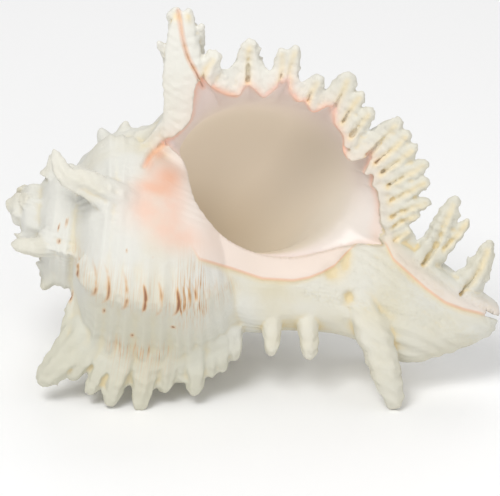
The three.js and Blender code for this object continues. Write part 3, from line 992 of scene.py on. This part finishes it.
def colour_masks(shell, points):
    """The masks that the colours use, from the shell laid about its axis."""
    normals = vertex_normals(shell)
    masks = surface_masks(points, normals)
    outside = 1 - masks["inside"]
    u, v = masks.pop("front_along"), masks.pop("height")
    hollow = averaged(shell, hollowness(shell, points, normals, 8)[:, None], 3)[:, 0]
    growth, along, out = whorl_place(points)
    profile = np.array(WHORL_PROFILE, float)
    proud = out - np.interp(along, profile[:, 0], profile[:, 1])
    turn, past_ridge = from_nearest(growth, RIDGE_STEP / 2), from_nearest(growth, 0)
    frond = step(proud, 9, 20) * outside
    rib = bell(turn + 0.5, 9.5) * step(proud, 0, 3) * (growth > THREADED_RIBS)
    ridge = bell(past_ridge - 7, 6) * (growth > THREADED_RIDGES) * (1 - step(proud, 12, 20))
    lines = bell(turn + 2, 19) * within(along, 103, 107, 119, 124) + 0.45 * bell(turn + 1, 10)
    lines += 0.9 * bell(past_ridge + 13, 5.5) * within(along, 66, 76, 98, 110)
    streak = np.clip(lines, 0, 1) * outside * (growth > THREADED_RIBS)
    # Painted shade: the lower side of the last whorl, and more faintly the canal below the lip's edge, turn
    # olive.
    under = step(-v, 10, 40) * (1 - step(u, 84, 112))
    canal = step(u, 130, 150) * (1 - masks["over_canal"]) * (points[:, 1] < 4)
    masks.update({
        "along": along,
        "turn": turn,
        # Painted shade: creases that sink below their surroundings, which the colours tint ochre.
        "groove": step(hollow, 0.03, 0.35),
        "slot": groove_mask(points) * outside,
        # Painted shade: broad valleys, which the colours tint cream.
        "valley_shade": step(hollowness(shell, points, normals, 40), 0.05, 1.4),
        "frond": frond,
        "rib": outside * np.clip(rib + 0.6 * ridge, 0, 1) * (growth < -60),
        "streak": streak * (1 - step(u, 84, 92) * (points[:, 1] < 0)),
        "under": under + 0.35 * canal,
        # Fronds towards the top are tinted paler.
        "upper_pale": frond * (1 - step(u, 80, 120)) * step(v, 0, 40),
        "seam_dark": 1 - 0.8 * step(v, 58, 74),
    })
    return masks


def mask_value(piece, name, values):
    layer = piece.data.attributes.new(name, "FLOAT", "POINT")
    layer.data.foreach_set("value", np.ascontiguousarray(values, dtype=np.float32))


class Wire:
    """A number socket with arithmetic, in one node tree."""

    def __init__(self, paint, socket):
        self.paint = paint
        self.socket = socket

    def math(self, kind, *others):
        return self.paint.node("ShaderNodeMath", {"operation": kind}, [self, *others])

    def __add__(self, other):
        return self.math("ADD", other)

    def __sub__(self, other):
        return self.math("SUBTRACT", other)

    def __rsub__(self, other):
        return self * -1 + other

    def __mul__(self, other):
        return self.math("MULTIPLY", other)

    def __truediv__(self, other):
        return self.math("DIVIDE", other)

    def clamp(self):
        return self.math("MAXIMUM", 0).math("MINIMUM", 1)

    def rise(self, low, high):
        """A smooth rise from 0 at low to 1 at high."""
        inputs = {"Value": self, "From Min": low, "From Max": high}
        return self.paint.node("ShaderNodeMapRange", {"interpolation_type": "SMOOTHSTEP"}, inputs)


class Paint:
    """Builds one material's node tree."""

    def __init__(self, name):
        self.material = bpy.data.materials.new(name)
        self.material.use_nodes = True
        self.tree = self.material.node_tree
        self.shader = self.tree.nodes["Principled BSDF"]

    def node(self, kind, settings=None, inputs=(), output=0):
        """A new node with its settings and inputs, as the wire of one output."""
        made = self.tree.nodes.new(kind)
        for name, value in (settings or {}).items():
            setattr(made, name, value)
        pairs = inputs.items() if isinstance(inputs, dict) else enumerate(inputs)
        for key, value in pairs:
            self.feed(made.inputs[key], value)
        return Wire(self, made.outputs[output])

    def feed(self, socket, value):
        if isinstance(value, Wire):
            self.tree.links.new(value.socket, socket)
        elif hasattr(value, "__len__") and len(value) == 3 and socket.type == "RGBA":
            socket.default_value = (*value, 1)
        else:
            socket.default_value = value

    def mix(self, factor, a, b):
        """Colour a, turning to colour b as the factor rises."""
        return self.node("ShaderNodeMix", {"data_type": "RGBA"}, {0: factor, 6: a, 7: b}, 2)

    def attribute(self, name):
        return self.node("ShaderNodeAttribute", {"attribute_name": name}, output=2)

    def noise(self, place, scale, detail=3):
        inputs = {"Vector": place, "Scale": scale, "Detail": detail}
        return self.node("ShaderNodeTexNoise", {}, inputs)


class SHELL_OT_colours(bpy.types.Operator):
    """Gives the shell its masks and its material"""
    bl_idname = "shell.colours"
    bl_label = "Colours"

    def execute(self, context):
        tones = context.scene.shell_colours
        shell = bpy.data.objects["murex_shell"]
        resting = coordinates(shell)
        points = about_axis(resting)
        place_points(shell, points)
        masks = colour_masks(shell, points)
        place_points(shell, resting)
        for name, values in masks.items():
            mask_value(shell, name, values)
        paint_shell(shell, tones, masks)
        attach(shell, "root")
        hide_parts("shell")
        return {"FINISHED"}


def threads(paint, mask, place):
    """Brown threads across the ribs, as wires of their dark cores and of their soft sides."""
    bowed = mask["along"] + mask["turn"] * mask["turn"] * THREAD_BOW
    ramp = paint.node("ShaderNodeValToRGB", {}, {"Fac": bowed / THREAD_SPAN})
    stops = ramp.socket.node.color_ramp
    for end, stop in enumerate(stops.elements):
        stop.position, stop.color = end, (0, 0, 0, 1)
    for number, thread in enumerate(THREADS):
        strength = 1.0 if number in STRONG_THREADS else 0.7
        for offset, value in ((-THREAD_HALF, 0), (0, strength), (THREAD_HALF, 0)):
            stop = stops.elements.new((thread + offset) / THREAD_SPAN)
            stop.color = (value, value, value, 1)
    broken = paint.noise(place, 130, 2).rise(0.36, 0.6)
    shown = ramp * mask["rib"] * broken
    return shown.rise(0.3, 0.75), shown.rise(0.02, 0.5)


def outer_colour(paint, mask, tones, cloud, patchy):
    """Chalk with cream, olive, ochre and rose parts, paler upper fronds, and the pink callus over them; the
    olive, the cream of valleys and the ochre of creases are painted shade.
    """
    outside = 1 - mask["inside"]
    # The cream tint: the fronds' and ribs' own cream and random patches, with painted shade in the broad
    # valleys.
    cream = mask["frond"] * 0.3 + mask["valley_shade"] * 0.5 + cloud.rise(0.42, 0.72) * 0.4 + mask["rib"] * 0.25
    base = paint.mix((cream * outside).clamp(), tones.chalk, tones.cream)
    base = paint.mix(mask["upper_pale"] * 0.6, base, tones.upper_pale)
    # Painted shade: olive on the lower side.
    base = paint.mix(mask["under"] * 0.55, base, tones.olive)
    # Painted shade: ochre in the creases, more on the fronds, and in the ochre pits, where it is partly their
    # own colour.
    folds = (mask["groove"] * (mask["frond"] * 0.75 + 0.25) * outside + mask["ochre"] * 0.9).clamp()
    base = paint.mix((folds * 0.7 + mask["slot"] * 0.65).clamp(), base, tones.ochre)
    base = paint.mix(mask["rose"] * 0.8, base, tones.rose)
    callus = mask["peach"] * (patchy.rise(0.3, 0.65) * 0.45 + 0.5)
    glow = (mask["glow"] * 0.22 + mask["over_canal"] * 0.25) * outside
    return paint.mix((callus + mask["band"] * 0.2 + glow).clamp(), base, tones.peach)


def lining_colour(paint, mask, tones):
    """Lilac at the lip, sand above and tan below further in, and the pale channel towards the canal."""
    wall = paint.mix(mask["low"], tones.sand, tones.tan)
    lining = paint.mix(mask["depth"], tones.lilac, wall)
    return paint.mix(mask["channel"] * 0.5, lining, tones.chalk)


def with_edges(paint, mask, tones, base, patchy):
    """The colour with the orange edges of the lip, the band, the canal and the fold, a painted shadow just
    below the band's and the canal's edges, and with the seam.
    """
    rim = mask["edge"] * (patchy.rise(0.3, 0.7) * 0.5 + 0.25)
    seam_side = 1 - mask["seam_distance"].rise(0.3, 1.6)
    line_core = (1 - mask["line_distance"].math("ABSOLUTE").rise(0.2, 0.9)) * mask["line_part"]
    fold = (1 - mask["fold_distance"].rise(0.1, 1.4)) * patchy.rise(0.2, 0.6)
    warm = rim + mask["orange"] * 0.6 + line_core * 0.55 + seam_side * 0.4 + fold * 0.36
    base = paint.mix(warm.clamp(), base, tones.orange)
    # Painted shadow: ochre just below the lower edge of the band and the lip's edge over the canal.
    painted_shadow_below_line = mask["line_distance"].rise(-2.6, -0.2) * (1 - mask["line_distance"].rise(-0.3, 0.3))
    base = paint.mix(painted_shadow_below_line * mask["line_part"] * 0.45, base, tones.ochre)
    seam_core = (1 - mask["seam_distance"].rise(0.15, 0.5)) * mask["seam_dark"]
    return paint.mix(seam_core * 0.75, base, tones.seam)


def with_marks(paint, mask, tones, base, place, patchy):
    """The colour with the brown threads, streaks and spots over it."""
    core, side = threads(paint, mask, place)
    across = paint.node("ShaderNodeCombineXYZ", {}, [mask["along"] * 1.3, mask["turn"] * 0.07, 0.0])
    streaks = paint.noise(across, 1)
    line_side = streaks.rise(0.44, 0.66) * mask["streak"]
    line_dark = streaks.rise(0.56, 0.74) * mask["streak"].rise(0.3, 1) * patchy.rise(0.4, 0.6)
    tint = side * 0.7 + line_side * 0.85 + mask["spots"].rise(0.1, 0.6) * 0.5
    base = paint.mix(tint.clamp(), base, tones.stain)
    dark = core + line_dark + mask["spots"].rise(0.5, 0.95)
    return paint.mix(dark.clamp() * 0.85, base, tones.brown)


def paint_shell(shell, tones, masks):
    """The shell's material: colours by its masks, a faint painted glow of the lining and of the frond
    grooves, gloss and a fine bump.
    """
    paint = Paint("shell")
    place = paint.node("ShaderNodeTexCoord", output=3)
    mask = {name: paint.attribute(name) for name in masks}
    patchy, speckle = paint.noise(place, 90), paint.noise(place, 240)
    lining = lining_colour(paint, mask, tones)
    base = outer_colour(paint, mask, tones, paint.noise(place, 38, 4), patchy)
    base = paint.mix(mask["inside"], base, lining)
    base = with_edges(paint, mask, tones, base, patchy)
    base = with_marks(paint, mask, tones, base, place, patchy)
    # Painted glow: the lining emits its own colour, most deep in the hollow and away from its lower part, and
    # the frond grooves emit ochre, standing in for the light that reaches them.
    lit = mask["inside"] * (mask["deep"] * (1 - mask["low"] * 0.8) * 0.8 + 0.35)
    through = paint.mix(lit, (0, 0, 0), lining)
    through = paint.mix(mask["slot"] * 0.5, through, tones.ochre)
    gloss = (mask["inside"] + mask["band"] + mask["peach"] * 0.6).clamp()
    height = (paint.noise(place, 420, 4) * 0.5 + speckle) * (1 - gloss)
    bump = paint.node("ShaderNodeBump", {}, {"Strength": 0.35, "Distance": 0.0007, "Height": height})
    for name, value in {
        "Base Color": base,
        "Emission Color": through,
        "Emission Strength": PAINTED_GLOW_STRENGTH,
        "Roughness": 0.62 - gloss * 0.3 + (speckle - 0.5) * 0.12 * (1 - gloss),
        "Normal": bump,
        "Specular IOR Level": 0.4,
    }.items():
        paint.feed(paint.shader.inputs[name], value)
    shell.data.materials.clear()
    shell.data.materials.append(paint.material)


class SHELL_OT_stage(bpy.types.Operator):
    """Adds the floor, the soft lights and the camera"""
    bl_idname = "shell.stage"
    bl_label = "Stage"

    def execute(self, context):
        tones = context.scene.shell_colours
        bpy.ops.object.select_all(action="DESELECT")
        bpy.ops.mesh.primitive_plane_add(size=FLOOR_SIZE, location=(0, 0, 0))
        floor = context.object
        floor.name = "floor"
        paint = Paint("floor")
        paint.feed(paint.shader.inputs["Base Color"], tuple(tones.floor))
        paint.shader.inputs["Roughness"].default_value = 0.8
        floor.data.materials.append(paint.material)
        for place, size, power in LAMPS:
            bpy.ops.object.light_add(type="AREA", location=place)
            lamp = context.object
            lamp.data.size, lamp.data.energy = size, power
            aim = Vector(LAMP_TARGET) - Vector(place)
            lamp.rotation_euler = aim.to_track_quat("-Z", "Y").to_euler()
        world = bpy.data.worlds.new("studio")
        world.use_nodes = True
        backdrop = world.node_tree.nodes["Background"]
        backdrop.inputs["Color"].default_value = (1, 1, 1, 1)
        backdrop.inputs["Strength"].default_value = BACKDROP_STRENGTH
        context.scene.world = world
        context.scene.view_settings.view_transform = "Standard"
        forward = Vector((0, math.cos(ROLL), -math.sin(ROLL)))
        upward = Vector((0, math.sin(ROLL), math.cos(ROLL)))
        apex = Vector(APEX) * MILLIMETRE
        place = apex - forward * VIEW_DISTANCE * MILLIMETRE
        middle = apex + Vector((VIEW_MIDDLE[0], 0, 0)) - upward * VIEW_MIDDLE[1]
        bpy.ops.object.camera_add(location=place)
        camera = context.object
        back = (place - middle).normalized()
        right = upward.cross(back).normalized()
        camera.rotation_euler = Matrix((right, back.cross(right), back)).transposed().to_euler()
        camera.data.lens = camera.data.sensor_width * (middle - place).length / VIEW_WIDTH
        context.scene.camera = camera
        return {"FINISHED"}


class SHELL_PT_panel(bpy.types.Panel):
    """Lists the steps, sizes and colours"""
    bl_label = "Murex shell"
    bl_space_type = "VIEW_3D"
    bl_region_type = "UI"
    bl_category = "Shell"

    def draw(self, context):
        for step_class in STEPS:
            self.layout.operator(step_class.bl_idname)
        for group in (context.scene.shell_sizes, context.scene.shell_colours):
            for name in group.__annotations__:
                self.layout.prop(group, name)


STEPS = (
    SHELL_OT_whorls, SHELL_OT_canal, SHELL_OT_fronds, SHELL_OT_knobs, SHELL_OT_fuse, SHELL_OT_surface,
    SHELL_OT_colours, SHELL_OT_stage,
)
CLASSES = (ShellSizes, ShellColours, *STEPS, SHELL_PT_panel)


def register():
    for item in CLASSES:
        bpy.utils.register_class(item)
    bpy.types.Scene.shell_sizes = bpy.props.PointerProperty(type=ShellSizes)
    bpy.types.Scene.shell_colours = bpy.props.PointerProperty(type=ShellColours)


def unregister():
    del bpy.types.Scene.shell_colours
    del bpy.types.Scene.shell_sizes
    for item in reversed(CLASSES):
        bpy.utils.unregister_class(item)


def main():
    register()
    bpy.ops.shell.whorls()
    bpy.ops.shell.canal()
    bpy.ops.shell.fronds()
    bpy.ops.shell.knobs()
    bpy.ops.shell.fuse()
    bpy.ops.shell.surface()
    bpy.ops.shell.colours()
    bpy.ops.shell.stage()


if __name__ == "__main__":
    main()
